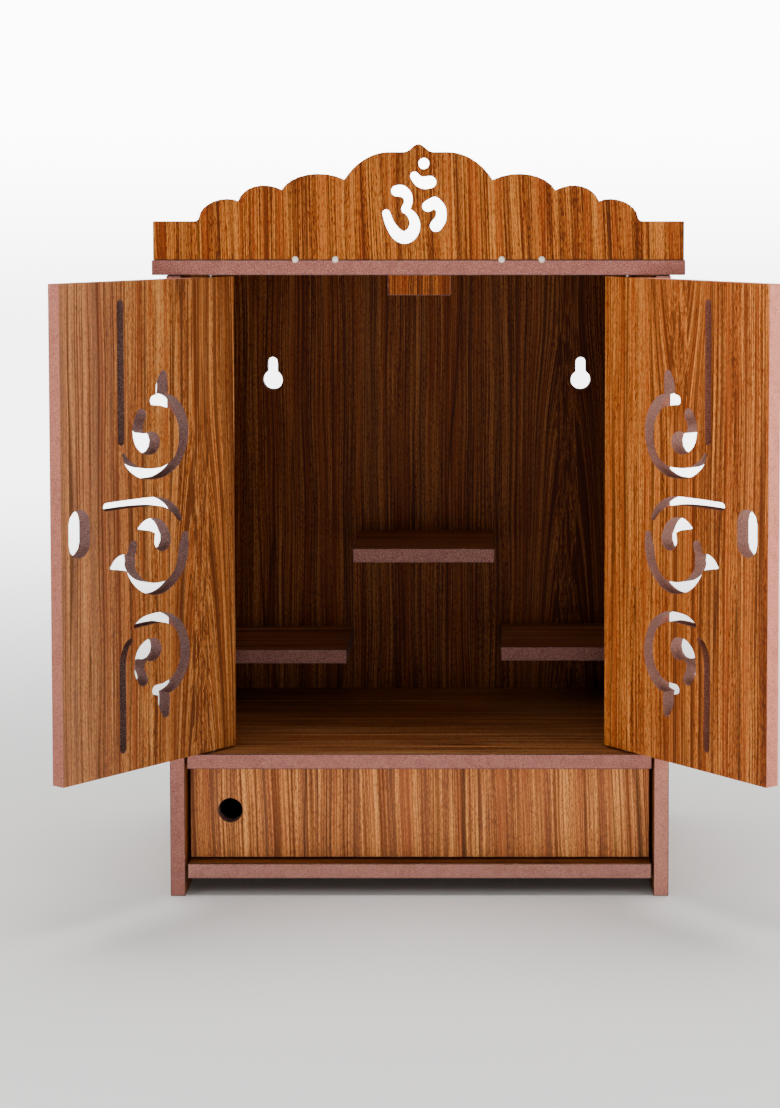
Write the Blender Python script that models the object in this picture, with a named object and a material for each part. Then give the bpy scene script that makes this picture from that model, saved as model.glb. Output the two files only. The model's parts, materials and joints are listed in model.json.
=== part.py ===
"""A small household altar cabinet of laminated board, about 300 mm wide and 450 mm tall.

Two side panels stand on the ground and carry a top board with a scalloped, fret-cut crown.
Between them are a back panel with two keyholes, an altar floor, a base board, three small
shelves, two fret-cut doors that turn on steel pins, and a drawer with a finger hole.
Lengths are in metres. X is the width, Y the depth with the front towards -Y, Z is up.
The origin is under the middle of the whole object with its doors open.
"""
from math import cos, pi, radians, sin

import bmesh
import bpy
from mathutils import Vector

MM = 0.001

# Driving dimensions
BOARD = 9 * MM
FIT_GAP = 0.3 * MM
CASE_WIDTH = 300 * MM
CASE_DEPTH = 206 * MM
FOOT_HEIGHT = 10.7 * MM
DRAWER_SPACE = 57.7 * MM
ALTAR_HEIGHT = 288 * MM
TOP_OVERHANG = 8.5 * MM
BOARD_END_GAP = 1.4 * MM

DOOR_HEIGHT = 285 * MM
DOOR_WIDTH = 139.2 * MM
DOOR_SIDE_GAP = 1.2 * MM
DOOR_LIFT = 1.5 * MM
DOOR_OPEN = radians(128.5)
PIVOT_FROM_SIDE = 16.2 * MM
PIVOT_DEPTH = 10.2 * MM
FRET_OFFSET = 1.5 * MM

PIN_RADIUS = 1.2 * MM
PIN_LENGTH = 11 * MM

SHELF_WIDTH = 91 * MM
SHELF_DEPTH = 86 * MM
SHELF_TOPS = {"center": 194.3 * MM, "left": 128.8 * MM, "right": 130.6 * MM}

KEYHOLE_X = 103.7 * MM
KEYHOLE_Z = 296 * MM
KEYHOLE_RADIUS = 6.6 * MM
KEYHOLE_SLOT = 3.4 * MM
KEYHOLE_RISE = 15.5 * MM

DRAWER_SIDE_GAP = 2 * MM
DRAWER_SETBACK = 11 * MM
DRAWER_FOOT_GAP = 0.9 * MM
DRAWER_TOP_GAP = 0.5 * MM
DRAWER_BOX_DEPTH = 168 * MM
DRAWER_WALL_HEIGHT = 46 * MM
DRAWER_BOTTOM = 4 * MM
FINGER_HOLE = (-114.7 * MM, 49.7 * MM)
FINGER_HOLE_RADIUS = 7.2 * MM

STOP_WIDTH = 38 * MM
STOP_HEIGHT = 12.5 * MM
STOP_CLEARANCE = 0.6 * MM

CROWN_SETBACK = 0.6 * MM
CROWN_HALF_WIDTH = 157.7 * MM
STUD_RADIUS = 1.95 * MM
STUD_XS = (-73.2 * MM, -49.4 * MM, 49.4 * MM, 73.2 * MM)

# Heights and places that follow
INNER_X = CASE_WIDTH / 2 - BOARD
BASE_TOP = FOOT_HEIGHT + BOARD
FLOOR_UNDER = BASE_TOP + DRAWER_SPACE
FLOOR_TOP = FLOOR_UNDER + BOARD
TOP_UNDER = FLOOR_TOP + ALTAR_HEIGHT
TOP_FACE = TOP_UNDER + BOARD
BACK_WALL = CASE_DEPTH - BOARD
HINGE_SET = PIVOT_FROM_SIDE - DOOR_SIDE_GAP
FREE_REACH = DOOR_WIDTH - HINGE_SET
DOOR_FOOT = FLOOR_TOP + DOOR_LIFT
PIVOT_X = INNER_X - PIVOT_FROM_SIDE

# The open doors stand in front of the case, so its front face lies behind the middle
DOORS_FRONT = PIVOT_DEPTH - FREE_REACH * sin(DOOR_OPEN) + BOARD / 2 * cos(DOOR_OPEN)
CASE_FRONT = -(DOORS_FRONT + CASE_DEPTH) / 2

# Crown outline from the shoulder to the peak, as (distance from the middle, height) in
# millimetres: each row is one Bezier stretch, the lobes of the scallop and the ogee point
SHOULDER = (134.5, 22.6)
CROWN_LOBES = [
    [SHOULDER, (132.0, 22.6), (130.8, 23.2), (130.3, 25.0)],
    [(130.3, 25.0), (129.5, 33.0), (116.0, 38.8), (107.2, 34.4)],
    [(107.2, 34.4), (104.0, 43.5), (92.0, 46.9), (81.3, 41.1)],
    [(81.3, 41.1), (76.0, 50.5), (58.0, 54.2), (44.0, 47.3)],
    [(44.0, 47.3), (38.0, 57.0), (28.0, 63.6), (18.0, 63.7)],
    [(18.0, 63.7), (15.0, 63.7), (12.0, 63.7), (9.0, 63.7)],
    [(9.0, 63.7), (4.6, 63.8), (3.3, 68.4), (0.0, 68.4)],
]

# Cut-outs are round-ended strokes, given in millimetres by the places that the middle of the
# stroke passes and its half width there. The sacred syllable of the crown is five strokes
# and a dot: (distance from the middle, height over the top board, half width)
SYLLABLE = {
    "dot": [(3.1, 56.9, 3.3)],
    "crescent": [(-2.5, 49.5, 2.6), (0.2, 46.4, 3.2), (3.6, 45.5, 3.7), (7.0, 45.9, 3.6)],
    "upper bowl": [(-13.2, 40.6, 3.3), (-9.8, 40.5, 3.5), (-6.8, 37.8, 3.0), (-6.2, 33.9, 2.5),
                   (-7.8, 29.7, 2.7)],
    "lower bowl": [(-7.3, 29.2, 2.0), (-3.9, 25.8, 2.7), (-2.3, 21.0, 3.2), (-3.8, 15.8, 3.6),
                   (-8.2, 12.9, 3.8), (-13.0, 15.0, 3.6), (-17.0, 20.8, 2.9), (-19.3, 27.2, 2.5)],
    "tail hook": [(5.3, 31.5, 3.3), (9.6, 33.8, 3.4)],
    "tail": [(9.8, 33.4, 3.6), (12.9, 30.4, 3.1), (13.5, 26.6, 3.1), (12.7, 23.2, 3.4),
             (10.2, 19.8, 3.6)],
}

# Door fretwork: (distance from the hinge edge, height over the door's foot, half width).
# The big scroll is given by (angle in degrees, radius, half width) round its middle
SCROLL_CENTER = (63.5, 193.8)
SCROLL_SWEEP = [(103, 21.6, 3.6), (127, 22.8, 4.0), (155, 22.8, 3.9), (180, 22.4, 3.8),
                (203, 22.5, 3.3), (225, 22.8, 3.0), (250, 22.2, 3.0), (272, 21.9, 3.1)]
SCROLL_TIP = [(300, 23.9, 3.0), (325, 26.4, 2.3), (341, 27.6, 1.1)]
SHORT_TIP = [(297, 23.8, 2.8), (313, 26.3, 1.2)]
SCROLL_BUD = [
    [(57.4, 229.0, 3.1), (58.4, 224.6, 4.4), (58.8, 219.5, 4.6), (59.0, 215.4, 3.6)],
    [(58.5, 214.8, 3.5), (65.0, 214.7, 3.2)],
    [(75.3, 207.0, 3.8), (77.9, 202.0, 3.9), (78.0, 197.0, 4.1), (75.6, 192.2, 5.2),
     (71.0, 190.1, 6.5), (67.2, 190.1, 6.8)],
]
MIRROR_HEIGHT = 129.4
MIDDLE_FRET = [
    [(103.3, 156.1, 2.4), (82.0, 156.2, 2.4), (64.0, 155.5, 2.6), (55.5, 153.4, 2.4),
     (48.7, 148.8, 2.4), (44.9, 143.6, 1.7)],
    [(77.4, 140.9, 1.2), (72.8, 142.2, 3.0), (67.0, 142.2, 4.0), (60.9, 139.2, 4.9),
     (58.8, 132.3, 6.9)],
    [(40.6, 132.9, 2.7), (41.7, 126.0, 4.0), (43.6, 117.3, 3.8), (47.9, 110.6, 3.1),
     (54.5, 105.6, 3.1), (62.0, 104.0, 3.5), (70.5, 105.2, 3.4), (78.0, 109.3, 3.3),
     (83.6, 116.2, 3.3), (84.8, 124.0, 3.3), (82.5, 131.4, 3.2)],
    [(85.5, 122.0, 4.8), (91.0, 122.4, 4.9), (95.6, 121.9, 3.6), (99.8, 120.6, 0.9)],
]
SLOTS = [
    [(91.2, 192.8, 2.5), (91.2, 272.3, 2.5)],
    [(84.8, 76.3, 1.6), (88.3, 73.6, 2.1), (90.8, 67.0, 2.4), (91.5, 58.0, 2.5),
     (91.5, 13.8, 2.5)],
]
FINGER_SLOT = [(124.0, 136.9, 8.0), (124.0, 148.9, 8.0)]

# How finely round shapes are faceted
SPAN_STEPS = 4
CAP_STEPS = 6
CURVE_STEPS = 8
HOLE_SIDES = 24
PIN_SIDES = 12
STUD_RINGS = 8
SHARP_FROM = radians(50)

# Colour, roughness and metallic value of each finish
LAMINATE = ("teak laminate on board", (0.42, 0.20, 0.065), 0.42, 0.0)
STEEL = ("bright steel", (0.62, 0.61, 0.58), 0.35, 1.0)
CREAM = ("cream plastic", (0.80, 0.70, 0.58), 0.45, 0.0)


def clear_scene():
    for item in list(bpy.data.objects):
        bpy.data.objects.remove(item, do_unlink=True)


def give_finish(piece, finish):
    """Gives the piece its own Principled material."""
    label, color, roughness, metallic = finish
    material = bpy.data.materials.new(f"{label} {piece.name}")
    material.use_nodes = True
    shader = material.node_tree.nodes["Principled BSDF"]
    shader.inputs["Base Color"].default_value = (*color, 1.0)
    shader.inputs["Roughness"].default_value = roughness
    shader.inputs["Metallic"].default_value = metallic
    piece.data.materials.append(material)


def add_object(name, shape, finish=None):
    """Turns a bmesh into a named object with its faces pointing out."""
    bmesh.ops.recalc_face_normals(shape, faces=shape.faces)
    mesh = bpy.data.meshes.new(name)
    shape.to_mesh(mesh)
    shape.free()
    piece = bpy.data.objects.new(name, mesh)
    bpy.context.scene.collection.objects.link(piece)
    if finish:
        give_finish(piece, finish)
    return piece


def prism(outline, near, far):
    """A bmesh: the (x, z) outline, standing upright, extruded from depth near to depth far."""
    shape = bmesh.new()
    face = shape.faces.new([shape.verts.new((x, near, z)) for x, z in outline])
    grown = bmesh.ops.extrude_face_region(shape, geom=[face])
    moved = [item for item in grown["geom"] if isinstance(item, bmesh.types.BMVert)]
    bmesh.ops.translate(shape, verts=moved, vec=(0, far - near, 0))
    return shape


def add_board(name, x_range, depth_range, z_range):
    """A rectangular laminated board; depth is measured back from the front of the case."""
    (x0, x1), (z0, z1) = x_range, z_range
    near, far = (CASE_FRONT + depth for depth in depth_range)
    return add_object(name, prism([(x0, z0), (x1, z0), (x1, z1), (x0, z1)], near, far), LAMINATE)


def spline(stations, steps):
    """A smooth line of (x, z, half width) places through all the stations."""
    if len(stations) < 3:
        return [Vector(station) for station in stations]
    points = [Vector(station) for station in stations]
    points = [2 * points[0] - points[1], *points, 2 * points[-1] - points[-2]]
    line = []
    for before, start, end, after in zip(points, points[1:], points[2:], points[3:]):
        for step in range(steps):
            t = step / steps
            line.append(0.5 * (2 * start + (end - before) * t
                               + (2 * before - 5 * start + 4 * end - after) * t ** 2
                               + (3 * start - before - 3 * end + after) * t ** 3))
    line.append(points[-2])
    return line


def round_end(center, radius, first_angle, steps):
    """The inner points of a half circle, turning anticlockwise from the first angle."""
    angles = (first_angle + pi * step / steps for step in range(1, steps))
    return [(center[0] + radius * cos(a), center[1] + radius * sin(a)) for a in angles]


def stroke_outline(stations):
    """The closed outline in millimetres of a round-ended stroke along its stations."""
    if len(stations) == 1:
        x, z, radius = stations[0]
        return [(x + radius * cos(2 * pi * i / HOLE_SIDES), z + radius * sin(2 * pi * i / HOLE_SIDES))
                for i in range(HOLE_SIDES)]
    line = spline(stations, SPAN_STEPS)
    right, left, headings = [], [], []
    for index, place in enumerate(line):
        ahead = line[min(index + 1, len(line) - 1)]
        behind = line[max(index - 1, 0)]
        heading = (ahead - behind).to_2d().normalized()
        side = Vector((heading.y, -heading.x)) * place.z
        right.append((place.x + side.x, place.y + side.y))
        left.append((place.x - side.x, place.y - side.y))
        headings.append(heading)
    last, first = line[-1], line[0]
    end_angle = Vector((1, 0)).angle_signed(headings[-1]) * -1 - pi / 2
    start_angle = Vector((1, 0)).angle_signed(headings[0]) * -1 + pi / 2
    return (right + round_end(last, last.z, end_angle, CAP_STEPS)
            + left[::-1] + round_end(first, first.z, start_angle, CAP_STEPS))


def around(center, sweep):
    """Stations on a scroll, from (angle, radius, half width) round its middle."""
    return [(center[0] + radius * cos(radians(angle)), center[1] + radius * sin(radians(angle)), half)
            for angle, radius, half in sweep]


def flipped(strokes):
    """The strokes turned upside down about the door's mirror height."""
    return [[(x, 2 * MIRROR_HEIGHT - z, half) for x, z, half in stroke] for stroke in strokes]


def door_strokes():
    """Every cut-out of a door: two facing scrolls, the middle motif, two slots, the finger slot."""
    top_scroll = [around(SCROLL_CENTER, SCROLL_SWEEP + SCROLL_TIP), *SCROLL_BUD]
    low_scroll = [around(SCROLL_CENTER, SCROLL_SWEEP + SHORT_TIP), *SCROLL_BUD]
    return [*top_scroll, *flipped(low_scroll), *MIDDLE_FRET, *SLOTS, FINGER_SLOT]


def cut(piece, cutters):
    """Takes the cutters, kept as wire guides in a collection of their own, out of the piece."""
    guides = bpy.data.collections.new(f"{piece.name} cutters")
    bpy.context.scene.collection.children.link(guides)
    for cutter in cutters:
        bpy.context.scene.collection.objects.unlink(cutter)
        guides.objects.link(cutter)
        cutter.hide_render = True
        cutter.display_type = "WIRE"
    boolean = piece.modifiers.new("cut-outs", "BOOLEAN")
    boolean.operand_type = "COLLECTION"
    boolean.collection = guides
    boolean.operation = "DIFFERENCE"
    boolean.solver = "EXACT"


def upright_cylinder(name, center, radius, z_range, sides):
    """A closed upright cylinder, used as a pin or as the cutter for its hole."""
    shape = bmesh.new()
    z0, z1 = z_range
    bmesh.ops.create_cone(shape, cap_ends=True, segments=sides, radius1=radius, radius2=radius,
                          depth=z1 - z0)
    bmesh.ops.translate(shape, verts=shape.verts, vec=(center[0], center[1], (z0 + z1) / 2))
    return add_object(name, shape)


def pin_place(side):
    return side * PIVOT_X, CASE_FRONT + PIVOT_DEPTH


def pin_hole(name, side, z_range):
    return upright_cylinder(name, pin_place(side), PIN_RADIUS + FIT_GAP, z_range, PIN_SIDES)


def make_side_panels():
    for side, word in ((-1, "left"), (1, "right")):
        faces = sorted((side * INNER_X, side * CASE_WIDTH / 2))
        add_board(f"side_panel_{word}", faces, (0, CASE_DEPTH), (0, TOP_UNDER - FIT_GAP))


def make_cross_boards():
    """The altar floor and the base board, and the top board that overhangs both sides."""
    half = INNER_X - BOARD_END_GAP
    back = BACK_WALL - FIT_GAP
    add_board("base_board", (-half, half), (0, back), (FOOT_HEIGHT, BASE_TOP))
    floor = add_board("altar_floor", (-half, half), (0, back), (FLOOR_UNDER, FLOOR_TOP))
    reach = CASE_WIDTH / 2 + TOP_OVERHANG
    top = add_board("top_board", (-reach, reach), (0, CASE_DEPTH), (TOP_UNDER, TOP_FACE))
    deep = PIN_LENGTH / 2 + FIT_GAP
    down = (FLOOR_TOP - deep, FLOOR_TOP + BOARD)
    up = (TOP_UNDER - BOARD, TOP_UNDER + deep)
    cut(floor, [pin_hole("floor pin hole", side, down) for side in (-1, 1)])
    cut(top, [pin_hole("top pin hole", side, up) for side in (-1, 1)])


def keyhole_outline(x, z):
    """A round hole with a narrower slot that rises from it and ends in a half circle."""
    meet = KEYHOLE_SLOT / KEYHOLE_RADIUS
    rise = KEYHOLE_RADIUS * (1 - meet ** 2) ** 0.5
    start = Vector((KEYHOLE_SLOT, rise)).angle_signed(Vector((1, 0)))
    turn = pi + 2 * start
    outline = []
    for step in range(HOLE_SIDES + 1):
        angle = start - turn * step / HOLE_SIDES
        outline.append((x + KEYHOLE_RADIUS * cos(angle), z + KEYHOLE_RADIUS * sin(angle)))
    crest = z + KEYHOLE_RISE - KEYHOLE_SLOT
    for step in range(CAP_STEPS + 1):
        angle = pi - pi * step / CAP_STEPS
        outline.append((x + KEYHOLE_SLOT * cos(angle), crest + KEYHOLE_SLOT * sin(angle)))
    return outline


def make_back_panel():
    half = INNER_X - FIT_GAP
    back = add_board("back_panel", (-half, half), (BACK_WALL, CASE_DEPTH),
                     (FOOT_HEIGHT, TOP_UNDER - FIT_GAP))
    near, far = CASE_FRONT + BACK_WALL - BOARD, CASE_FRONT + CASE_DEPTH + BOARD
    cut(back, [add_object("keyhole cutter", prism(keyhole_outline(x, KEYHOLE_Z), near, far))
               for x in (-KEYHOLE_X, KEYHOLE_X)])


def make_shelves():
    """Three small shelves against the back panel, the outer two also against the sides."""
    outer = INNER_X - FIT_GAP
    spans = {"center": (-SHELF_WIDTH / 2, SHELF_WIDTH / 2),
             "left": (-outer, -outer + SHELF_WIDTH),
             "right": (outer - SHELF_WIDTH, outer)}
    for word, span in spans.items():
        top = SHELF_TOPS[word]
        add_board(f"shelf_{word}", span, (BACK_WALL - SHELF_DEPTH, BACK_WALL - FIT_GAP),
                  (top - BOARD, top))


def make_door_stop():
    """The small block under the top board that both doors close against."""
    near = PIVOT_DEPTH + BOARD / 2 + STOP_CLEARANCE
    under = TOP_UNDER - FIT_GAP
    add_board("door_stop_block", (-STOP_WIDTH / 2, STOP_WIDTH / 2), (near, near + BOARD),
              (under - STOP_HEIGHT, under))


def crown_outline():
    """The scalloped top edge, lobe by lobe from the middle outwards, mirrored, with a flat foot."""
    half = [(0.0, CROWN_LOBES[-1][-1][1])]
    for lobe in reversed(CROWN_LOBES):
        p3, p2, p1, p0 = (Vector(point) for point in lobe)
        steps = 1 if p3.y == p0.y and p3.y == p1.y else CURVE_STEPS
        for step in range(1, steps + 1):
            t = step / steps
            point = ((1 - t) ** 3 * p0 + 3 * (1 - t) ** 2 * t * p1
                     + 3 * (1 - t) * t ** 2 * p2 + t ** 3 * p3)
            half.append((point.x, point.y))
    end = CROWN_HALF_WIDTH / MM
    half += [(end, SHOULDER[1]), (end, 0.0)]
    return half + [(-x, z) for x, z in reversed(half[1:])]


def make_crown():
    near = CASE_FRONT + CROWN_SETBACK
    foot = TOP_FACE + FIT_GAP

    def lifted(outline):
        return [(x * MM, foot + z * MM) for x, z in outline]

    crown = add_object("crown_board", prism(lifted(crown_outline()), near, near + BOARD), LAMINATE)
    cut(crown, [add_object(f"{word} cutter",
                           prism(lifted(stroke_outline(stroke)), near - BOARD, near + 2 * BOARD))
                for word, stroke in SYLLABLE.items()])


def make_crown_studs():
    """Four cream studs with domed heads along the joint of the crown and the top board."""
    for number, x in enumerate(STUD_XS, start=1):
        shape = bmesh.new()
        bmesh.ops.create_uvsphere(shape, u_segments=PIN_SIDES, v_segments=STUD_RINGS,
                                  radius=STUD_RADIUS)
        everything = [*shape.verts, *shape.edges, *shape.faces]
        cut_off = bmesh.ops.bisect_plane(shape, geom=everything, plane_co=(0, 0, 0),
                                         plane_no=(0, 1, 0), clear_outer=True)
        rim = [item for item in cut_off["geom_cut"] if isinstance(item, bmesh.types.BMEdge)]
        bmesh.ops.contextual_create(shape, geom=rim)
        bmesh.ops.translate(shape, verts=shape.verts,
                            vec=(x, CASE_FRONT - FIT_GAP, TOP_FACE + FIT_GAP))
        stud = add_object(f"crown_stud_{number}", shape, CREAM)
        stud.data.shade_smooth()
        stud.data.set_sharp_from_angle(angle=SHARP_FROM)


def make_door(side, word):
    """A fret-cut door, made closed round its pin axis and turned open. Its x runs to the middle."""
    inward = -side

    def placed(outline):
        shift = HINGE_SET + side * FRET_OFFSET
        return [(inward * (x * MM - shift), z * MM) for x, z in outline]

    half = BOARD / 2
    slab = [(-inward * HINGE_SET, 0), (inward * FREE_REACH, 0),
            (inward * FREE_REACH, DOOR_HEIGHT), (-inward * HINGE_SET, DOOR_HEIGHT)]
    door = add_object(f"door_{word}", prism(slab, -half, half), LAMINATE)
    cutters = [add_object(f"{word} fret {number}", prism(placed(stroke_outline(stroke)), -BOARD, BOARD))
               for number, stroke in enumerate(door_strokes(), start=1)]
    deep = PIN_LENGTH / 2 - DOOR_LIFT + FIT_GAP
    for z_range in ((-BOARD, deep), (DOOR_HEIGHT - deep, DOOR_HEIGHT + BOARD)):
        cutters.append(upright_cylinder(f"{word} door pin hole", (0, 0), PIN_RADIUS + FIT_GAP,
                                        z_range, PIN_SIDES))
    for cutter in cutters:
        cutter.parent = door
    cut(door, cutters)
    door.location = (side * PIVOT_X, CASE_FRONT + PIVOT_DEPTH, DOOR_FOOT)
    door.rotation_euler.z = side * DOOR_OPEN


def make_pivot_pins():
    """The steel pins that the doors turn on, sunk half in the case and half in the door."""
    half = PIN_LENGTH / 2
    for side, word in ((-1, "left"), (1, "right")):
        for height, end in ((FLOOR_TOP, "bottom"), (TOP_UNDER, "top")):
            pin = upright_cylinder(f"pivot_pin_{word}_{end}", pin_place(side), PIN_RADIUS,
                                   (height - half, height + half), PIN_SIDES)
            give_finish(pin, STEEL)
            pin.data.shade_smooth()
            pin.data.set_sharp_from_angle(angle=SHARP_FROM)


def make_drawer():
    """A drawer of five boards with a round finger hole near the left end of its front."""
    half = INNER_X - DRAWER_SIDE_GAP
    behind = DRAWER_SETBACK + BOARD + FIT_GAP
    back_end = behind + DRAWER_BOX_DEPTH
    foot = BASE_TOP + FIT_GAP
    wall = (foot, foot + DRAWER_WALL_HEIGHT)
    front = add_board("drawer_front", (-half, half), (DRAWER_SETBACK, DRAWER_SETBACK + BOARD),
                      (BASE_TOP + DRAWER_FOOT_GAP, FLOOR_UNDER - DRAWER_TOP_GAP))
    x, z = FINGER_HOLE
    ring = [(x / MM, z / MM, FINGER_HOLE_RADIUS / MM)]
    hole = [(px * MM, pz * MM) for px, pz in stroke_outline(ring)]
    near = CASE_FRONT + DRAWER_SETBACK
    cut(front, [add_object("finger hole cutter", prism(hole, near - BOARD, near + 2 * BOARD))])
    add_board("drawer_side_left", (-half, -half + BOARD), (behind, back_end), wall)
    add_board("drawer_side_right", (half - BOARD, half), (behind, back_end), wall)
    inner = half - BOARD - FIT_GAP
    add_board("drawer_back", (-inner, inner), (back_end - BOARD, back_end), wall)
    add_board("drawer_bottom", (-inner, inner), (behind, back_end - BOARD - FIT_GAP),
              (foot, foot + DRAWER_BOTTOM))


clear_scene()
make_side_panels()
make_cross_boards()
make_back_panel()
make_shelves()
make_door_stop()
make_crown()
make_crown_studs()
make_door(-1, "left")
make_door(1, "right")
make_pivot_pins()
make_drawer()
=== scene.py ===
"""The looks of a small household altar cabinet: teak-print laminate with painted board edges.

Every board is dressed with a copy of its solid that has eased arrises. The wide faces carry the
laminate, and the sawn edges and the walls of the cut-outs carry a matt paint. Lengths are in
metres, and the patterns' own scales are in millimetres.
"""
import json
from math import cos, pi, radians, sin

import bmesh
import bpy
from mathutils import Matrix, Vector


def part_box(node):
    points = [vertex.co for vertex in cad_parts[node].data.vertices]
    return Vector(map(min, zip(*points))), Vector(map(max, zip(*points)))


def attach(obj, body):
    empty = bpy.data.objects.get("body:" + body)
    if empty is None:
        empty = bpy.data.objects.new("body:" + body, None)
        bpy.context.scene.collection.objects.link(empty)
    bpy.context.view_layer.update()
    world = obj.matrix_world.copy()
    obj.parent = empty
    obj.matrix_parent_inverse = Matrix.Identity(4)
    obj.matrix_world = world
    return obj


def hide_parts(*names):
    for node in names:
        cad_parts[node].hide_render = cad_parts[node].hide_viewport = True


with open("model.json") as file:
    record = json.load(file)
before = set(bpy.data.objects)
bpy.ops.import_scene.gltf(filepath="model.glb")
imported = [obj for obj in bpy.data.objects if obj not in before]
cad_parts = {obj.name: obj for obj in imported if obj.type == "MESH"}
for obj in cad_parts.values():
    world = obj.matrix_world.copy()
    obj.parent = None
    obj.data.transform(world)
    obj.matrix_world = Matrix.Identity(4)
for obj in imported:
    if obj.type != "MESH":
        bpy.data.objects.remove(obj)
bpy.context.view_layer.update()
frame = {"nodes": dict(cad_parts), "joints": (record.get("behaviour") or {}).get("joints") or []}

MM = 0.001

# The board work: how far the arrises are eased, and what counts as flat, wide or a corner
ARRIS = 0.4 * MM
ARRIS_STEPS = 3
MERGE = 0.001 * MM
FLAT = radians(0.5)
CORNER = radians(50)
SMOOTH_UNDER = radians(38)
FACING = 0.98

# The ways that a board's thickness runs
THICK_X = Vector((1, 0, 0))
THICK_Y = Vector((0, 1, 0))
THICK_Z = Vector((0, 0, 1))

# The turns that bring the grain of a side board, a lying board and the drawer's back upright
ON_SIDE = (0, 0, radians(90))
LYING = (0, radians(-90), radians(-90))
GRAIN_SIDEWAYS = (0, radians(90), 0)

# The finishes of a board, in the order of its material slots
PRINT, EDGE, RUBBED, WALL, SLOT = range(5)

# A cut-out counts as a narrow slot when its box is taller and thinner than these
SLOT_LENGTH = 30 * MM
SLOT_WIDTH = 22 * MM

# The studs along the crown's foot, and how finely their heads are rounded
STUD_COUNT = 4
STUD_SEGMENTS = 32
STUD_RINGS = 16

# The photograph's view: the camera's place, how far it looks down, and its lens
CAMERA_PLACE = (0.0409, -1.5572, 0.4335)
LOOKS_DOWN = radians(3.39)
CAMERA_LENS = 82.06
CAMERA_SHIFT = (-0.0879, -0.2066)

# The studio's white surroundings: how strongly they light the cabinet, how white they look at the
# floor's far end and above it, and where between them they change
SKY_LIGHT = 0.15
FAR_GLOW = 5.6
SKY_GLOW = 12.0
SKY_FADE = (-0.06, 0.03)

# The floor glows further out, over this range in metres from the cabinet
FLOOR_SIZE = 12.0
FLOOR_GLOW = 4.4
FLOOR_FADE = (0.25, 2.4)

# The soft boxes stand at this reach and face the altar. Each has its azimuth and elevation in
# degrees, its power in watts and its size in metres.
LAMP_REACH = 4.0
ALTAR_MIDDLE = (0, 0, 0.22)
SOFT_BOXES = {
    "soft box left": (-48, 31, 24, 1.8),
    "soft box right": (56, 31, 22, 1.8),
    "low front soft box": (4, 7, 30, 0.9),
    "high front soft box": (4, 40, 9, 1.8),
}
TOP_LIGHT_PLACE = (0, 0.3, 3)
TOP_LIGHT_POWER = 4.0
TOP_LIGHT_SPREAD = radians(46)

# Teak print, from the dark lines to the pale streaks
TEAK_LINE = "#3A1A06"
TEAK_DARK = "#552408"
TEAK_RED = "#824014"
TEAK_MID = "#9E551B"
TEAK_OCHRE = "#B26928"
TEAK_PALE = "#D28B43"
TEAK_RUST = "#994210"
TEAK_UMBER = "#5A2F18"
# Laid over the print where a painted sheen greys it
TEAK_PAINTED_SHEEN = "#B4835C"
TEAK_TONES = ((0.0, TEAK_DARK), (0.28, TEAK_RED), (0.5, TEAK_MID), (0.7, TEAK_OCHRE), (1.0, TEAK_PALE))

# The print's features, in millimetres across, deep and along the grain. Real teak's hairlines and
# pores are finer than these, too fine to show.
BANDS = (7.0, 40, 460)
STREAKS = (1.7, 20, 300)
HAIRS = (0.5, 8, 90)
PORES = (0.45, 3, 2.6)
LINES = (1.4, 30, 400)
HUES = (5.0, 30, 300)
VEINS = (7.0, 30, 600)
RINGS = (3.6, 30, 700)
STRAY = (30, 60, 130)
RIPPLE = (7, 30, 30)
PRESSED_TEXTURE = (0.5, 0.5, 2.5)

# How strongly these show beside the bands, and how many millimetres the ripple bends the grain
STREAKS_SHOW = 1.3
HAIRS_SHOW = 3.0
PORES_SHOW = 1.7
RIPPLE_BENDS = 0.35

# The flame figure, in millimetres: how round its nose is, how softly its lines start to close, how
# far from its middle they close, how far from it they are dark and by what share, and where its two
# sides part and how far apart their patterns are read
FLAME_NOSE = 3.0
FLAME_SOFT = 30.0
FLAME_CLOSES = (8.0, 36.0)
FLAME_DARK = (12.0, 34.0, 0.85)
FLAME_SIDES = (-9.0, 9.0)
FLAME_APART = 300.0

# Paint on the sawn edges, paler on the base board and the right side panel. The doors' paints are
# paler still, the right one much paler: partly their own paint and partly painted light on the doors'
# edges. The darker paints on the top board and the shelves are painted shade.
PAINT = "#A6665B"
PAINT_AND_LIGHT_DOOR_LEFT = "#B0654F"
PAINT_AND_LIGHT_DOOR_RIGHT = "#F29479"
PAINT_PANEL_RIGHT = "#CE8874"
PAINT_TOP_SHADED = "#8F5146"
PAINT_BASE = "#B67B6C"
PAINT_SHELF_SHADED = "#6C3D34"
PAINT_FLECK = "#D29C8A"
PAINT_PORE = "#7C4A42"

# Paint in the cut-outs, darker than the edges' paint: a painted shade on their walls. The narrow
# slots are darker still, and both are paler in the right door.
PAINT_WALL_SHADED = "#6E4843"
PAINT_WALL_SHADED_RIGHT = "#9A695B"
PAINT_SLOT = "#4A2418"
PAINT_SLOT_RIGHT = "#7C3C22"

# The board's core where an arris is worn, the pins, the studs and the studio's paper
CORE_DARK = "#42261B"
CORE_RUBBED = "#8E6250"
STEEL_DARK = "#A8A6A0"
STEEL_BRIGHT = "#D2D0CA"
CREAM = "#E8DCC8"
CREAM_HANDLED = "#C6A98C"
PAPER = "#F4F3F1"
WHITE = "#FFFFFF"

# The features of the other finishes, in millimetres. Real draw lines are finer, too fine to show.
FIBRES = (0.5, 0.5, 0.5)
CLOUDS = (7, 7, 7)
RUBBED_PLACES = (5, 5, 5)
DRAW_LINES = (0.15, 0.15, 6)
DIRT = (1.4, 1.4, 1.4)

# The middle of a noise's range, over which a surface goes from one gloss to another
NOISE_MIDDLE = (0.3, 0.7)


def linear(hex_color):
    """A colour written as sRGB hex, as the linear values that a shader works with."""
    channels = (int(hex_color[i:i + 2], 16) / 255 for i in (1, 3, 5))
    return (*(c / 12.92 if c <= 0.04045 else ((c + 0.055) / 1.055) ** 2.4 for c in channels), 1.0)


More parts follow.
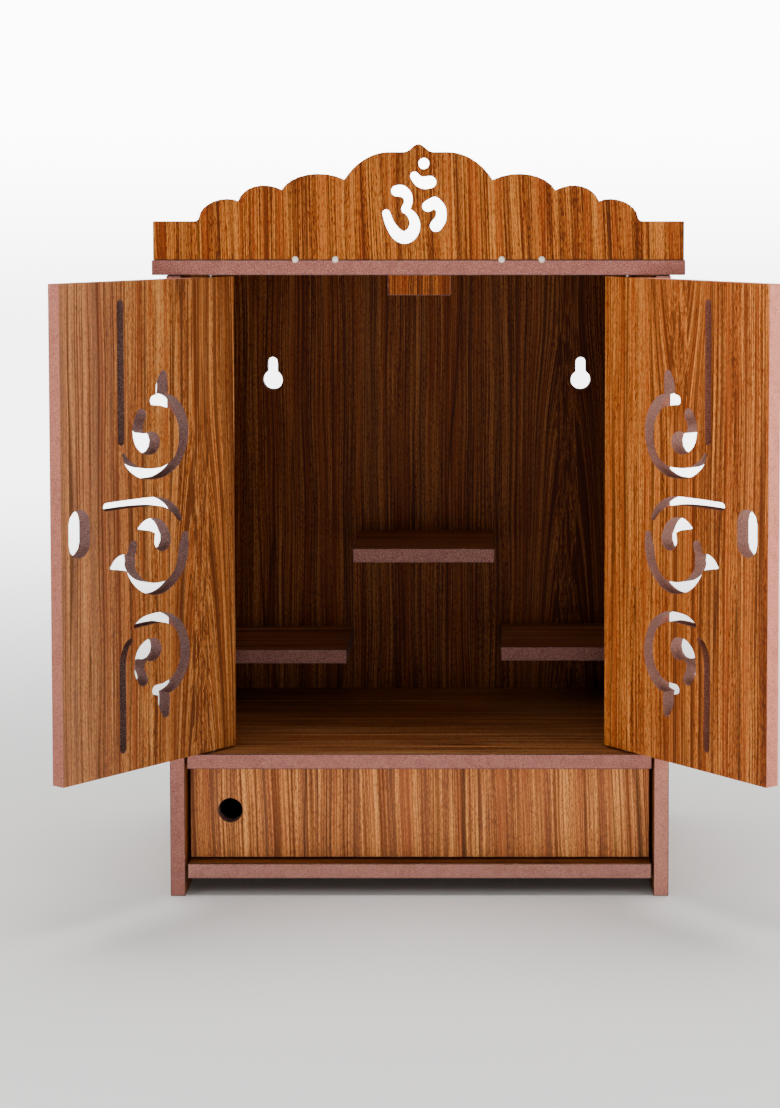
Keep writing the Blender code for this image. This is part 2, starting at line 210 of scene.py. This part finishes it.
def add_node(tree, kind, inputs=(), **settings):
    """Adds a node, sets its settings, and fills or links its inputs, in order or by name or number."""
    made = tree.nodes.new(kind)
    for name, value in settings.items():
        setattr(made, name, value)
    for key, value in inputs.items() if isinstance(inputs, dict) else enumerate(inputs):
        if isinstance(value, bpy.types.NodeSocket):
            tree.links.new(value, made.inputs[key])
        else:
            made.inputs[key].default_value = value
    return made


def new_material(name):
    """A new material, its node tree and its shader."""
    material = bpy.data.materials.new(name)
    material.use_nodes = True
    return material, material.node_tree, material.node_tree.nodes["Principled BSDF"]


def in_millimetres(tree, turn=(0, 0, 0), shift=(0, 0, 0)):
    """The piece's own coordinates in millimetres, turned and then shifted."""
    objects = add_node(tree, "ShaderNodeTexCoord").outputs["Object"]
    return add_node(tree, "ShaderNodeMapping",
                    {"Vector": objects, "Scale": (1 / MM, 1 / MM, 1 / MM), "Rotation": turn,
                     "Location": shift}).outputs[0]


def features(tree, place, sizes, detail=2.0, roughness=0.5):
    """A noise whose features have about these sizes in millimetres."""
    scaled = add_node(tree, "ShaderNodeMapping",
                      {"Vector": place, "Scale": tuple(1 / size for size in sizes)}).outputs[0]
    return add_node(tree, "ShaderNodeTexNoise",
                    {"Vector": scaled, "Scale": 1.0, "Detail": detail,
                     "Roughness": roughness}).outputs["Fac"]


def weighted(tree, *terms):
    """Adds up (value, weight) pairs."""
    total = 0.0
    for value, weight in terms:
        total = add_node(tree, "ShaderNodeMath", (value, weight, total),
                         operation="MULTIPLY_ADD").outputs[0]
    return total


def lay_over(tree, color, *coats):
    """Lays coats over a colour: each shows where its pattern goes from start to end, up to its share."""
    for pattern, start, end, share, coat in coats:
        shown = add_node(tree, "ShaderNodeMapRange", (pattern, start, end, 0.0, share),
                         interpolation_type="SMOOTHSTEP").outputs[0]
        color = add_node(tree, "ShaderNodeMix", {0: shown, 6: color, 7: coat},
                         data_type="RGBA").outputs[2]
    return color


def uneven_gloss(tree, shader, pattern, low, high):
    """Roughness that goes from low to high with the pattern."""
    rough = add_node(tree, "ShaderNodeMapRange", (pattern, *NOISE_MIDDLE, low, high),
                     interpolation_type="SMOOTHSTEP").outputs[0]
    tree.links.new(rough, shader.inputs["Roughness"])


def relief(tree, shader, height, depth):
    """Gives the surface a fine relief of this depth in metres."""
    bump = add_node(tree, "ShaderNodeBump", {"Height": height, "Strength": 1.0, "Distance": depth})
    tree.links.new(bump.outputs["Normal"], shader.inputs["Normal"])


def flame(tree, across, along, middle, height, slope, way):
    """The flame figure of a board: lines that close round its middle line, past this height.

    The lines close downwards where way is 1 and upwards where it is -1. It gives the distance
    across the bent grain, a depth that tells its two sides apart, and how dark its lines are.
    """
    offset = add_node(tree, "ShaderNodeMath", (across, middle), operation="SUBTRACT").outputs[0]
    square = add_node(tree, "ShaderNodeMath", (offset, offset, FLAME_NOSE ** 2),
                      operation="MULTIPLY_ADD").outputs[0]
    bowl = add_node(tree, "ShaderNodeMath", (square,), operation="SQRT").outputs[0]
    past = add_node(tree, "ShaderNodeMath", (along, way, -way * height),
                    operation="MULTIPLY_ADD").outputs[0]
    rise = add_node(tree, "ShaderNodeMath", (past, 0.0, FLAME_SOFT), operation="SMOOTH_MAX").outputs[0]
    falls = add_node(tree, "ShaderNodeMapRange", (bowl, *FLAME_CLOSES, -slope, 0.0),
                     interpolation_type="SMOOTHSTEP").outputs[0]
    bent = add_node(tree, "ShaderNodeMath", (rise, falls, bowl), operation="MULTIPLY_ADD").outputs[0]
    side = add_node(tree, "ShaderNodeMapRange", (offset, *FLAME_SIDES, 0.0, FLAME_APART),
                    interpolation_type="SMOOTHSTEP").outputs[0]
    dark = add_node(tree, "ShaderNodeMapRange", (bowl, *FLAME_DARK, 0.0),
                    interpolation_type="SMOOTHSTEP").outputs[0]
    return bent, side, dark


def printed_tones(tree, tone):
    """The print's colours, from the dark ones to the pale ones."""
    ramp = add_node(tree, "ShaderNodeValToRGB", (tone,))
    points = ramp.color_ramp.elements
    while len(points) < len(TEAK_TONES):
        points.new(0.5)
    for point, (place, color) in zip(points, TEAK_TONES):
        point.position = place
        point.color = linear(color)
    return ramp.outputs["Color"]


def teak_laminate(name, turn=(0, 0, 0), shift=(0, 0, 0), lean=0.0, wander=3.0, figure=None,
                  bold=0.9, pale=None, tint=None, gloss=0.15):
    """Teak-print laminate with a satin pressed texture: the eye sees hairlines and short pores
    first, then streaks a few millimetres wide, then bands that change from ochre to rust.

    turn brings the board's grain upright with x across it. lean is how far the grain slants and
    wander how many millimetres it strays. bold is how strong the bands are. pale is where across
    the board a painted sheen greys the print, and how far. tint multiplies the whole print, which
    paints shade or sheen on some boards. gloss is how much of the lamps its coating mirrors.
    """
    material, tree, shader = new_material(name)
    placed = in_millimetres(tree, turn, shift)
    across, deep, along = add_node(tree, "ShaderNodeSeparateXYZ", (placed,)).outputs
    stray = features(tree, placed, STRAY, detail=1.0)
    ripple = features(tree, placed, RIPPLE, detail=0.0)
    bent, side, dark = flame(tree, across, along, *figure) if figure else (across, 0.0, 0.0)
    bent = weighted(tree, (bent, 1.0), (along, lean), (stray, 2 * wander), (ripple, RIPPLE_BENDS))
    deep = add_node(tree, "ShaderNodeMath", (deep, side), operation="ADD").outputs[0]
    grain = add_node(tree, "ShaderNodeCombineXYZ", (bent, deep, along)).outputs[0]

    bands = features(tree, grain, BANDS, detail=1.0)
    streaks = features(tree, grain, STREAKS, roughness=0.75)
    hairs = features(tree, grain, HAIRS, detail=1.0, roughness=0.7)
    pores = features(tree, grain, PORES, detail=0.0)
    lines = features(tree, grain, LINES, detail=0.0)
    hues = features(tree, grain, HUES, detail=0.0)
    veins = features(tree, grain, VEINS, detail=0.0)
    off_vein = add_node(tree, "ShaderNodeMath", (veins, 0.5), operation="SUBTRACT").outputs[0]
    off_vein = add_node(tree, "ShaderNodeMath", (off_vein,), operation="ABSOLUTE").outputs[0]

    # The last term keeps the middle tone at a half, whatever the others weigh
    weights = bold + STREAKS_SHOW + HAIRS_SHOW + PORES_SHOW
    tone = weighted(tree, (bands, bold), (streaks, STREAKS_SHOW), (hairs, HAIRS_SHOW),
                    (pores, PORES_SHOW), (0.5, 1.0 - weights))
    inks = [(hues, 0.5, 0.7, 0.4, linear(TEAK_RUST)), (hues, 0.42, 0.3, 0.35, linear(TEAK_UMBER))]
    # A painted sheen that greys the print across part of the board
    if pale:
        inks.append((across, *pale, linear(TEAK_PAINTED_SHEEN)))
    inks += [(off_vein, 0.022, 0.0, 0.75, linear(TEAK_LINE)), (lines, 0.4, 0.3, 0.7, linear(TEAK_DARK)),
             (pores, 0.6, 0.74, 0.6, linear(TEAK_LINE))]
    if figure:
        rings = features(tree, grain, RINGS, detail=0.0)
        inks.append((rings, 0.48, 0.38, dark, linear(TEAK_DARK)))
    color = lay_over(tree, printed_tones(tree, tone), *inks)
    # The tint is painted shade on the crown, the base board and the inner boards, and a painted sheen on
    # the left door; elsewhere it only changes the print's tone
    if tint:
        color = add_node(tree, "ShaderNodeMix", {0: 1.0, 6: color, 7: (*tint, 1.0)},
                         data_type="RGBA", blend_type="MULTIPLY").outputs[2]
    tree.links.new(color, shader.inputs["Base Color"])
    uneven_gloss(tree, shader, pores, 0.44, 0.56)
    shader.inputs["Specular IOR Level"].default_value = gloss
    relief(tree, shader, features(tree, placed, PRESSED_TEXTURE, detail=0.0), depth=0.03 * MM)
    return material


def edge_paint(name, coat):
    """Matt paint rolled on sawn board: chalky, speckled where the fibres drank it."""
    material, tree, shader = new_material(name)
    placed = in_millimetres(tree)
    fibre = features(tree, placed, FIBRES, detail=1.0, roughness=0.6)
    cloud = features(tree, placed, CLOUDS)
    drunk = tuple(dry * pore for dry, pore in zip(linear(coat), linear(PAINT_PORE)))
    color = lay_over(tree, linear(coat), (fibre, 0.56, 0.3, 0.62, drunk),
                     (fibre, 0.52, 0.72, 0.4, linear(PAINT_FLECK)), (cloud, 0.45, 0.68, 0.15, drunk))
    tree.links.new(color, shader.inputs["Base Color"])
    uneven_gloss(tree, shader, fibre, 0.86, 0.7)
    relief(tree, shader, fibre, depth=0.06 * MM)
    return material


def worn_arris(name):
    """The eased corner between laminate and paint: a thin dark line of core with rubbed places."""
    material, tree, shader = new_material(name)
    rub = features(tree, in_millimetres(tree), RUBBED_PLACES, detail=3.0, roughness=0.7)
    color = lay_over(tree, linear(CORE_DARK), (rub, 0.58, 0.72, 1.0, linear(CORE_RUBBED)))
    tree.links.new(color, shader.inputs["Base Color"])
    shader.inputs["Roughness"].default_value = 0.6
    relief(tree, shader, rub, depth=0.05 * MM)
    return material


def drawn_steel(name):
    """Bright drawn wire: fine draw lines along a smooth metal."""
    material, tree, shader = new_material(name)
    draw = features(tree, in_millimetres(tree), DRAW_LINES)
    color = add_node(tree, "ShaderNodeMix", {0: draw, 6: linear(STEEL_DARK), 7: linear(STEEL_BRIGHT)},
                     data_type="RGBA").outputs[2]
    tree.links.new(color, shader.inputs["Base Color"])
    shader.inputs["Metallic"].default_value = 1.0
    uneven_gloss(tree, shader, draw, 0.26, 0.42)
    relief(tree, shader, draw, depth=0.01 * MM)
    return material


def moulded_cream(name):
    """Moulded cream plastic with a faint sheen and a little handling dirt."""
    material, tree, shader = new_material(name)
    dirt = features(tree, in_millimetres(tree), DIRT, detail=3.0)
    color = lay_over(tree, linear(CREAM), (dirt, 0.45, 0.75, 0.5, linear(CREAM_HANDLED)))
    tree.links.new(color, shader.inputs["Base Color"])
    uneven_gloss(tree, shader, dirt, 0.34, 0.5)
    relief(tree, shader, dirt, depth=0.02 * MM)
    return material


def pick_only(piece):
    """Deselects everything and picks the one piece to work on."""
    bpy.ops.object.select_all(action="DESELECT")
    piece.select_set(True)
    bpy.context.view_layer.objects.active = piece


def wall_rings(shape, thick_along):
    """The faces that aren't wide ones, in rings: the board's outline and one for each cut-out."""
    waiting = {face for face in shape.faces if abs(face.normal.dot(thick_along)) <= FACING}
    rings = []
    while waiting:
        ring, reached = [], [waiting.pop()]
        while reached:
            face = reached.pop()
            ring.append(face)
            near = {other for edge in face.edges for other in edge.link_faces} & waiting
            waiting -= near
            reached.extend(near)
        rings.append(ring)
    return rings


def ring_box(ring):
    """How wide, deep and tall a ring of faces is."""
    corners = [vertex.co for face in ring for vertex in face.verts]
    return Vector([max(c[i] for c in corners) - min(c[i] for c in corners) for i in range(3)])


def set_finishes(mesh, thick_along):
    """Laminate on the wide faces, paint on the outline, and darker paint in each cut-out: painted shade.
    """
    shape = bmesh.new()
    shape.from_mesh(mesh)
    rings = wall_rings(shape, thick_along)
    outline = max(rings, key=lambda ring: ring_box(ring).length)
    for face in shape.faces:
        face.material_index = PRINT
    for ring in rings:
        size = ring_box(ring)
        narrow = size.z > SLOT_LENGTH and size.xy.length < SLOT_WIDTH
        finish = EDGE if ring is outline else SLOT if narrow else WALL
        for face in ring:
            face.material_index = finish
    shape.to_mesh(mesh)
    shape.free()


def dress_board(node, body, thick_along, finishes):
    """Dresses a board with a copy of it that has eased arrises and its own finishes."""
    mesh = frame["nodes"][node].data.copy()
    mesh.materials.clear()
    for finish in finishes:
        mesh.materials.append(finish)
    piece = bpy.data.objects.new(f"{node}_board", mesh)
    bpy.context.scene.collection.objects.link(piece)
    pick_only(piece)
    bpy.ops.object.mode_set(mode="EDIT")
    bpy.ops.mesh.select_all(action="SELECT")
    bpy.ops.mesh.remove_doubles(threshold=MERGE)
    bpy.ops.mesh.dissolve_limited(angle_limit=FLAT)
    bpy.ops.object.mode_set(mode="OBJECT")
    set_finishes(piece.data, thick_along)
    bevel = piece.modifiers.new("eased arrises", "BEVEL")
    bevel.width = ARRIS
    bevel.segments = ARRIS_STEPS
    bevel.limit_method = "ANGLE"
    bevel.angle_limit = CORNER
    bevel.material = RUBBED
    bpy.ops.object.modifier_apply(modifier=bevel.name)
    bpy.ops.object.shade_smooth_by_angle(angle=SMOOTH_UNDER)
    weigh = piece.modifiers.new("flat faces stay flat", "WEIGHTED_NORMAL")
    weigh.keep_sharp = True
    bpy.ops.object.modifier_apply(modifier=weigh.name)
    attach(piece, body)
    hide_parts(node)


def make_boards():
    """Each board's shift reads another part of the print. Its tint is painted shade on the crown, the
    back panel, the altar floor, the base board and the shelves; on the others it only changes the tone.
    """
    paint = edge_paint("matt edge paint", PAINT)
    # The top board's and the shelves' darker edge paints are painted shade
    coats = {"side_panel_right": edge_paint("matt edge paint right panel", PAINT_PANEL_RIGHT),
             "top_board": edge_paint("matt edge paint top board", PAINT_TOP_SHADED),
             "base_board": edge_paint("matt edge paint base board", PAINT_BASE)}
    shelf_shifts = {"shelf_left": (700, 0, 3600), "shelf_center": (820, 0, 4000),
                    "shelf_right": (960, 0, 4400)}
    for shelf in shelf_shifts:
        coats[shelf] = edge_paint(f"matt edge paint {shelf}", PAINT_SHELF_SHADED)
    arris = worn_arris("worn arris")
    # Darker paint in the cut-outs, a painted shade on their walls
    inside = (edge_paint("matt paint in cut-outs", PAINT_WALL_SHADED),
              edge_paint("matt paint in slots", PAINT_SLOT))
    looks = {
        # The tints of the crown, the back panel, the altar floor, the base board and the shelves are
        # painted shade: the crown darker and less blue against the light that falls stronger at the top,
        # the base board's top darker, and the inner boards darker and browner, as the print looks in the
        # altar's shade.
        "crown_board": (THICK_Y, dict(shift=(37, 5, 0), lean=0.02, bold=1.9,
                                      tint=(0.77, 0.67, 0.49), gloss=0.05)),
        "back_panel": (THICK_Y, dict(shift=(410, 0, 90), figure=(505, 420, 0.16, -1), bold=1.2,
                                     tint=(0.28, 0.25, 0.3), gloss=0.03)),
        # The drawer's pale coat is a painted sheen over its front; its tint only brightens the print
        "drawer_front": (THICK_Y, dict(shift=(150, 3, 700), lean=0.03, bold=2.2,
                                       pale=(-160, -150, 0.14), tint=(1.52, 1.52, 1.54))),
        "side_panel_left": (THICK_X, dict(turn=ON_SIDE, shift=(900, 0, 40))),
        "side_panel_right": (THICK_X, dict(turn=ON_SIDE, shift=(1500, 0, 40))),
        "top_board": (THICK_Z, dict(turn=LYING, shift=(60, 0, 2000))),
        "altar_floor": (THICK_Z, dict(turn=LYING, shift=(300, 0, 2600), tint=(0.95, 1.2, 2.2))),
        "base_board": (THICK_Z, dict(turn=LYING, shift=(520, 0, 3100), tint=(0.5, 0.5, 0.6))),
        **{shelf: (THICK_Z, dict(turn=LYING, shift=shift, tint=(0.9, 1.2, 2.8)))
           for shelf, shift in shelf_shifts.items()},
        "door_stop_block": (THICK_Y, dict(shift=(1100, 0, 4800), tint=(0.55, 0.45, 0.3), gloss=0.05)),
        "drawer_bottom": (THICK_Z, dict(turn=LYING, shift=(1240, 0, 5200))),
        "drawer_back": (THICK_Y, dict(turn=GRAIN_SIDEWAYS, shift=(1400, 0, 5600))),
        "drawer_side_left": (THICK_X, dict(turn=ON_SIDE, shift=(1600, 0, 6000))),
        "drawer_side_right": (THICK_X, dict(turn=ON_SIDE, shift=(1800, 0, 6400))),
    }
    for node, (thick_along, look) in looks.items():
        body = "drawer" if node.startswith("drawer") else "cabinet"
        laminate = teak_laminate(f"teak laminate {node}", **look)
        dress_board(node, body, thick_along, [laminate, coats.get(node, paint), arris, *inside])
    make_doors(arris, inside)


def make_doors(arris, inside):
    """Each door's print is turned with it, so that its grain runs up the door."""
    # The right door's cut-outs get their own paler paint, still a painted shade on their walls
    inside_right = (edge_paint("matt paint in the right door's cut-outs", PAINT_WALL_SHADED_RIGHT),
                    edge_paint("matt paint in the right door's slots", PAINT_SLOT_RIGHT))
    looks = {
        # The doors' paler edge paints are partly painted light. The left door's bluer tint and its pale
        # free end are a painted sheen.
        "left": (-1, PAINT_AND_LIGHT_DOOR_LEFT, inside,
                 dict(wander=2.5, figure=(14, 195, 0.16, -1), bold=1.5, pale=(50, 125, 0.3),
                      tint=(1.0, 1.06, 1.3))),
        "right": (1, PAINT_AND_LIGHT_DOOR_RIGHT, inside_right,
                  dict(wander=2.0, figure=(-50, 215, 0.2, 1), tint=(1.3, 1.2, 1.1))),
    }
    for word, (side, coat, cut_paints, look) in looks.items():
        joint = next(j for j in frame["joints"] if j["child"] == f"{word}_door")
        turn_back = -side * radians(max(joint["range_deg"]))
        back_turn = Matrix.Rotation(turn_back, 3, "Z")
        at_pin = -(back_turn @ Vector(joint["pos_m"])) / MM
        at_pin.z = -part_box(f"door_{word}")[0].z / MM
        laminate = teak_laminate(f"teak laminate door {word}", turn=(0, 0, turn_back),
                                 shift=tuple(at_pin), **look)
        edge = edge_paint(f"matt edge paint door {word}", coat)
        dress_board(f"door_{word}", f"{word}_door", back_turn.transposed() @ THICK_Y,
                    [laminate, edge, arris, *cut_paints])


def make_studs():
    """Domed stud heads, each a ball that is cut flat at the board."""
    cream = moulded_cream("moulded cream plastic")
    for number in range(1, STUD_COUNT + 1):
        node = f"crown_stud_{number}"
        low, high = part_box(node)
        middle = (low + high) / 2
        at_board = (middle.x, high.y, middle.z)
        bpy.ops.object.select_all(action="DESELECT")
        bpy.ops.mesh.primitive_uv_sphere_add(segments=STUD_SEGMENTS, ring_count=STUD_RINGS,
                                             radius=(high.x - low.x) / 2, location=at_board)
        stud = bpy.context.active_object
        stud.name = f"{node}_head"
        bpy.ops.object.mode_set(mode="EDIT")
        bpy.ops.mesh.select_all(action="SELECT")
        bpy.ops.mesh.bisect(plane_co=at_board, plane_no=THICK_Y, use_fill=True, clear_outer=True)
        bpy.ops.object.mode_set(mode="OBJECT")
        bpy.ops.object.transform_apply(location=True, rotation=True, scale=True)
        bpy.ops.object.shade_smooth_by_angle(angle=SMOOTH_UNDER)
        stud.data.materials.append(cream)
        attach(stud, "cabinet")
        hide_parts(node)


def finish_pins():
    """The pins keep their solids and get a drawn steel finish."""
    steel = drawn_steel("bright drawn steel")
    for name, node in frame["nodes"].items():
        if name.startswith("pivot_pin"):
            node.data.materials.clear()
            node.data.materials.append(steel)


def make_floor():
    """A plain pale studio floor, lit up further out so that it runs into the white surroundings."""
    bpy.ops.object.select_all(action="DESELECT")
    bpy.ops.mesh.primitive_plane_add(size=FLOOR_SIZE, location=(0, 0, 0))
    floor = bpy.context.active_object
    floor.name = "studio_floor"
    material, tree, shader = new_material("white studio paper")
    shader.inputs["Base Color"].default_value = linear(PAPER)
    shader.inputs["Roughness"].default_value = 0.9
    shader.inputs["Emission Color"].default_value = linear(WHITE)
    objects = add_node(tree, "ShaderNodeTexCoord").outputs["Object"]
    reach = add_node(tree, "ShaderNodeVectorMath", (objects,), operation="LENGTH").outputs["Value"]
    glow = add_node(tree, "ShaderNodeMapRange", (reach, *FLOOR_FADE, 0.0, FLOOR_GLOW),
                    interpolation_type="SMOOTHSTEP").outputs[0]
    tree.links.new(glow, shader.inputs["Emission Strength"])
    floor.data.materials.append(material)


def add_lamp(name, kind, place, target, power, **settings):
    """A lamp at a place that faces its target."""
    data = bpy.data.lights.new(name, kind)
    data.energy = power
    for setting, value in settings.items():
        setattr(data, setting, value)
    lamp = bpy.data.objects.new(name, data)
    bpy.context.scene.collection.objects.link(lamp)
    lamp.location = place
    lamp.rotation_euler = (Vector(target) - Vector(place)).to_track_quat("-Z", "Y").to_euler()


def around(azimuth, elevation, reach):
    """A place round the cabinet; azimuth 0 is in front of it and grows to the right."""
    turn, lift = radians(azimuth), radians(elevation)
    return reach * sin(turn) * cos(lift), -reach * cos(turn) * cos(lift), reach * sin(lift)


def make_light():
    """Soft boxes on both sides, one low and one high in front that reach into the altar, and an
    even light from above."""
    for name, (azimuth, elevation, power, size) in SOFT_BOXES.items():
        add_lamp(name, "AREA", around(azimuth, elevation, LAMP_REACH), ALTAR_MIDDLE, power, size=size)
    add_lamp("top light", "SUN", TOP_LIGHT_PLACE, (0, 0, 0), TOP_LIGHT_POWER, angle=TOP_LIGHT_SPREAD)


def make_surroundings():
    """White all round, which the camera sees far brighter than it lights the cabinet."""
    world = bpy.data.worlds.new("pale studio")
    bpy.context.scene.world = world
    world.use_nodes = True
    tree = world.node_tree
    glow = tree.nodes["Background"]
    glow.inputs["Strength"].default_value = SKY_LIGHT
    sky_place = add_node(tree, "ShaderNodeTexCoord").outputs["Generated"]
    height = add_node(tree, "ShaderNodeSeparateXYZ", (sky_place,)).outputs["Z"]
    whiteness = add_node(tree, "ShaderNodeMapRange", (height, *SKY_FADE, FAR_GLOW, SKY_GLOW),
                         interpolation_type="SMOOTHSTEP").outputs[0]
    paper = add_node(tree, "ShaderNodeBackground", {"Color": linear(WHITE), "Strength": whiteness})
    seen = add_node(tree, "ShaderNodeLightPath").outputs["Is Camera Ray"]
    mixed = add_node(tree, "ShaderNodeMixShader", (seen, glow.outputs[0], paper.outputs[0]))
    tree.links.new(mixed.outputs[0], tree.nodes["World Output"].inputs["Surface"])


def make_camera():
    """The photograph's view."""
    data = bpy.data.cameras.new("photograph's view")
    data.lens = CAMERA_LENS
    data.shift_x, data.shift_y = CAMERA_SHIFT
    camera = bpy.data.objects.new("photograph's view", data)
    bpy.context.scene.collection.objects.link(camera)
    camera.location = CAMERA_PLACE
    camera.rotation_euler = (pi / 2 - LOOKS_DOWN, 0, 0)
    bpy.context.scene.camera = camera


make_camera()
make_boards()
make_studs()
finish_pins()
make_floor()
make_light()
make_surroundings()
